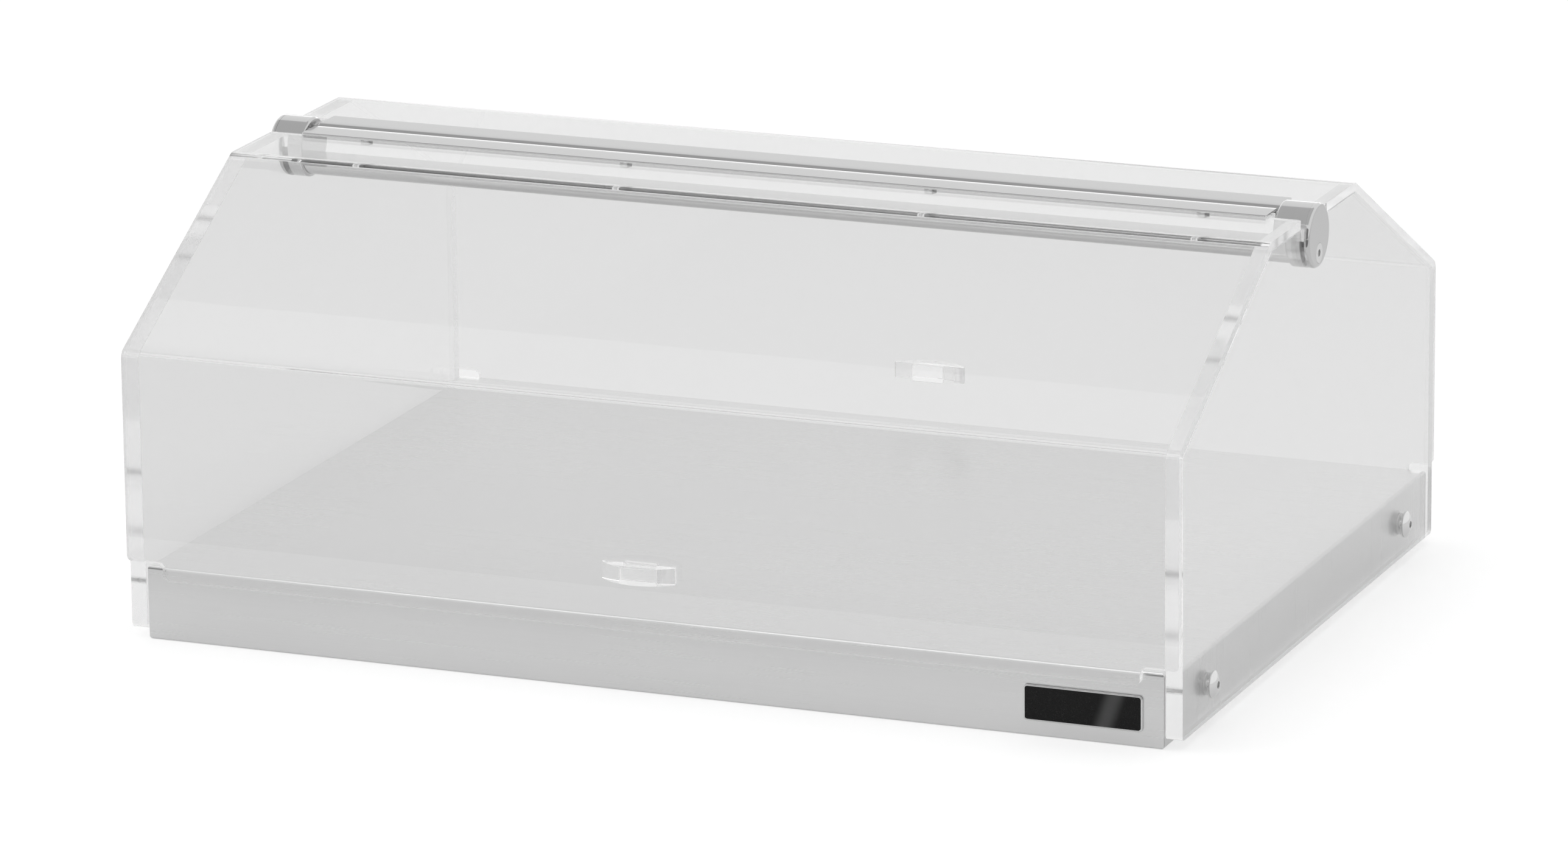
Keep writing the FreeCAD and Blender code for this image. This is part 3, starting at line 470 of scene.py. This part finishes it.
# Painted shade: the top is painted darker than the sides and the underside, which are made 1.7 times as
# bright as the top.
darker_top_from, unshaded_share = 0.2, 1.7
unshaded_faces = math_node(leaf_tree, "LESS_THAN", normal_up(leaf_tree), darker_top_from)
scale_colour(leaf_steel, between(leaf_tree, unshaded_faces, 1.0, unshaded_share))
dress(["front_hinge_leaf", "rear_hinge_leaf"], leaf_steel, edge=0.25 * mm)
dress(["front_leaf_nuts", "rear_leaf_nuts"], fastener_steel, edge=0.2 * mm)

# Handles.
# Crescents cut from 10 mm clear acrylic, polished all round, each with a tenon glued into the lid's slot.


def no_edges(tree, spot, facing):
    """No face of a handle keeps a trace of the saw."""
    return math_node(tree, "MULTIPLY", spot["X"], 0.0)


handle_acrylic = clear_acrylic("handle_acrylic", no_edges, clearness=0.97)
dress(["front_handle", "rear_handle"], handle_acrylic, edge=0.4 * mm, inset=acrylic_inset)

# Badge plate.
# A blank plate stuck on the front skirt: a bright rounded frame round a gloss black field.

badge_low, badge_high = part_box("badge_plate")
badge_middle = (badge_low + badge_high) / 2
badge_half = (badge_high - badge_low) / 2
badge_radius, least_radius, corner_steps = 2.5 * mm, 0.3 * mm, 8

# The plate's profile in mm, from its edge on the skirt to the field: how far in, and how far out.
plate_thickness, field_height, first_field_loop = 1.5, 1.3, 6
badge_profile = (
    (0.0, 0.0), (0.0, plate_thickness - 0.35), (0.1, plate_thickness - 0.12), (0.35, plate_thickness),
    (0.75, plate_thickness), (0.95, plate_thickness - 0.08),
    (1.0, field_height), (1.6, field_height + 0.03),
)


def rounded_loop(inset, height):
    """Points round the badge's outline drawn in by inset, at that height over the skirt."""
    radius = max(badge_radius - inset, least_radius)
    points = []
    for quarter, (across, up) in enumerate(((1, 1), (-1, 1), (-1, -1), (1, -1))):
        corner_x = badge_middle.x + across * (badge_half.x - inset - radius)
        corner_z = badge_middle.z + up * (badge_half.z - inset - radius)
        for step in range(corner_steps + 1):
            angle = math.pi / 2 * (quarter + step / corner_steps)
            points.append((
                corner_x + radius * math.cos(angle),
                badge_high.y - height,
                corner_z + radius * math.sin(angle),
            ))
    return points


badge_mesh = bpy.data.meshes.new("badge")
badge_shape = bmesh.new()
badge_loops = [
    [badge_shape.verts.new(point) for point in rounded_loop(inset * mm, height * mm)]
    for inset, height in badge_profile
]
for loop_number, (outer, inner) in enumerate(zip(badge_loops, badge_loops[1:])):
    for step in range(len(outer)):
        following = (step + 1) % len(outer)
        face = badge_shape.faces.new((outer[step], outer[following], inner[following], inner[step]))
        face.smooth = True
        face.material_index = 1 if loop_number >= first_field_loop else 0
badge_shape.faces.new(badge_loops[-1]).material_index = 1
badge_shape.faces.new(list(reversed(badge_loops[0]))).material_index = 0
bmesh.ops.recalc_face_normals(badge_shape, faces=badge_shape.faces)
badge_shape.to_mesh(badge_mesh)
badge_shape.free()
badge_frame = brushed_steel(
    "badge_frame", shade=0.70, roughness=0.16, shade_swing=0.03, lines=2000.0, relief=0.03
)

# A painted sheen: a soft slanting band across the black field is painted lighter, a painted reflection.
sheen_middle, sheen_lean, sheen_reach, sheen_level = 274.9 * mm, -0.35, 9.0 * mm, 0.09
badge_black, black_tree, black_shader = new_material("badge_black")
black_spot = add_node(black_tree, "TexCoord").outputs["Object"]
black_dust = noise(black_tree, black_spot, scale=900.0, detail=4.0)
black_place = split(black_tree, black_spot)
black_slant = math_node(black_tree, "MULTIPLY_ADD", black_place["Z"], sheen_lean, black_place["X"])
from_sheen = math_node(black_tree, "ABSOLUTE", math_node(black_tree, "SUBTRACT", black_slant, sheen_middle))
black_sheen = add_node(black_tree, "MapRange", [
    ("Value", from_sheen), ("From Min", 0.0), ("From Max", sheen_reach),
    ("To Min", sheen_level), ("To Max", 0.0),
], interpolation_type="SMOOTHERSTEP").outputs[0]
# The painted sheen is added to the black with its dust.
black_level = math_node(black_tree, "ADD", black_sheen, between(black_tree, black_dust, 0.003, 0.008))
black_tree.links.new(grey(black_tree, black_level), black_shader.inputs["Base Color"])
black_tree.links.new(between(black_tree, black_dust, 0.10, 0.22), black_shader.inputs["Roughness"])
black_shader.inputs["Specular IOR Level"].default_value = 0.2
badge_mesh.materials.append(badge_frame)
badge_mesh.materials.append(badge_black)
badge = bpy.data.objects.new("badge", badge_mesh)
bpy.context.scene.collection.objects.link(badge)
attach(badge, "root")
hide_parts("badge_plate")

# Studio.
# The bin stands on a plain pale floor under soft light, seen a little from above and from the front right
# corner through a long lens.

scene = bpy.context.scene
scene.view_settings.view_transform = "Standard"
scene.cycles.max_bounces = 288
scene.cycles.glossy_bounces = 256
scene.cycles.transmission_bounces = 256
scene.cycles.transparent_max_bounces = 32

photo_width = 2576
focal_pixels = 14379.87
sensor_width = 36.0
aim = Vector((-4.3153, 0.0, 96.4301)) * mm
camera_distance = 5174.29 * mm
camera_yaw = math.radians(22.1129)
camera_pitch = math.radians(15.3723)
camera_roll = math.radians(-0.5656)

forward = Vector((
    -math.sin(camera_yaw) * math.cos(camera_pitch),
    math.cos(camera_yaw) * math.cos(camera_pitch),
    -math.sin(camera_pitch),
))
level_right = Vector((math.cos(camera_yaw), math.sin(camera_yaw), 0.0))
level_up = level_right.cross(forward)
right = math.cos(camera_roll) * level_right + math.sin(camera_roll) * level_up
up = math.cos(camera_roll) * level_up - math.sin(camera_roll) * level_right

camera = bpy.data.objects.new("camera", bpy.data.cameras.new("camera"))
camera.data.sensor_width = sensor_width
camera.data.lens = focal_pixels / photo_width * sensor_width
camera.data.clip_end = 50.0
camera.matrix_world = Matrix.Translation(aim - forward * camera_distance) @ Matrix((
    (right.x, up.x, -forward.x),
    (right.y, up.y, -forward.y),
    (right.z, up.z, -forward.z),
)).to_4x4()
scene.collection.objects.link(camera)
scene.camera = camera


def background_share(tree, in_metal, through_glass):
    """1 for the camera's own rays, and the shares for rays that show the background in metal and glass."""
    path = add_node(tree, "LightPath").outputs
    metal = math_node(tree, "MULTIPLY", path["Is Glossy Ray"], in_metal)
    glass = math_node(tree, "MULTIPLY", path["Is Transmission Ray"], through_glass)
    return math_node(tree, "MAXIMUM", path["Is Camera Ray"], math_node(tree, "MAXIMUM", metal, glass))


fill_level = 0.42
white = (1.0, 1.0, 1.0, 1.0)
world = bpy.data.worlds.new("studio")
world.use_nodes = True
world_tree = world.node_tree
background = world_tree.nodes["Background"]
background.inputs["Color"].default_value = white
world_share = background_share(world_tree, in_metal=1.0, through_glass=0.9)
world_tree.links.new(between(world_tree, world_share, fill_level, 1.0), background.inputs["Strength"])
scene.world = world


def studio_plane(name, left, right, near, far, material):
    """A flat piece of the studio from left to right in X, and from near to far, both given as (y, z)."""
    mesh = bpy.data.meshes.new(name)
    mesh.from_pydata([(left, *near), (right, *near), (right, *far), (left, *far)], [], [(0, 1, 2, 3)])
    mesh.materials.append(material)
    piece = bpy.data.objects.new(name, mesh)
    scene.collection.objects.link(piece)
    return piece


floor_lift, floor_half = 0.50, 20.0
floor_material, floor_tree, floor_shader = new_material("studio_floor")
floor_shader.inputs["Base Color"].default_value = (0.80, 0.80, 0.80, 1.0)
floor_shader.inputs["Roughness"].default_value = 0.9
floor_shader.inputs["Emission Color"].default_value = white
floor_share = background_share(floor_tree, in_metal=0.5, through_glass=0.76)
floor_glow = between(floor_tree, floor_share, 0.0, floor_lift)
floor_tree.links.new(floor_glow, floor_shader.inputs["Emission Strength"])
studio_plane("studio_floor", -floor_half, floor_half, (-floor_half, 0.0), (floor_half, 0.0), floor_material)


def reflected_card(name, left, right, near, far, level, through_glass=False):
    """A card that is only seen in reflections, or only through the acrylic, at that level of grey."""
    material, _, shader = new_material(name)
    shader.inputs["Base Color"].default_value = (0.0, 0.0, 0.0, 1.0)
    shader.inputs["Emission Color"].default_value = (level, level, level, 1.0)
    shader.inputs["Emission Strength"].default_value = 1.0
    card = studio_plane(name, left, right, near, far, material)
    card.visible_camera = False
    card.visible_diffuse = False
    card.visible_glossy = not through_glass
    card.visible_transmission = through_glass
    card.visible_shadow = False


reflected_card("overhead_card", -2.2, 1.2, near=(-2.0, 2.4), far=(1.3, 2.4), level=0.6)
reflected_card("overhead_glow", -1.5, 1.0, near=(-1.7, 2.5), far=(0.5, 2.5), level=1.7, through_glass=True)
reflected_card("back_card", -4.0, 2.4, near=(2.8, 1.15), far=(1.3, 2.4), level=1.0)
reflected_card("low_strip", -2.6, 0.6, near=(2.8, 0.50), far=(2.8, 0.83), level=2.0)
reflected_card("front_card", -3.0, 2.0, near=(-3.5, 0.002), far=(-0.42, 0.002), level=0.15)
reflected_card("room_card", -9.0, 9.0, near=(-6.0, 0.0), far=(-6.0, 4.5), level=0.22)

lamp_aim = Vector((0.0, 0.0, 0.1))
for lamp_name, place, width, height, brightness in (
    ("overhead_softbox", (0.0, -0.2, 2.6), 2.4, 2.4, 1.1),
    ("back_softbox", (-1.2, 3.6, 1.3), 4.4, 1.9, 0.3),
    ("left_softbox", (-2.8, -1.2, 1.6), 1.4, 1.6, 1.3),
):
    lamp_data = bpy.data.lights.new(lamp_name, "AREA")
    lamp_data.shape = "RECTANGLE"
    lamp_data.size = width
    lamp_data.size_y = height
    lamp_data.energy = brightness * math.pi * width * height
    lamp = bpy.data.objects.new(lamp_name, lamp_data)
    lamp.location = place
    lamp.rotation_euler = (Vector(place) - lamp_aim).to_track_quat("Z", "Y").to_euler()
    scene.collection.objects.link(lamp)
    lamp.visible_transmission = False
    lamp.visible_glossy = lamp_name != "back_softbox"
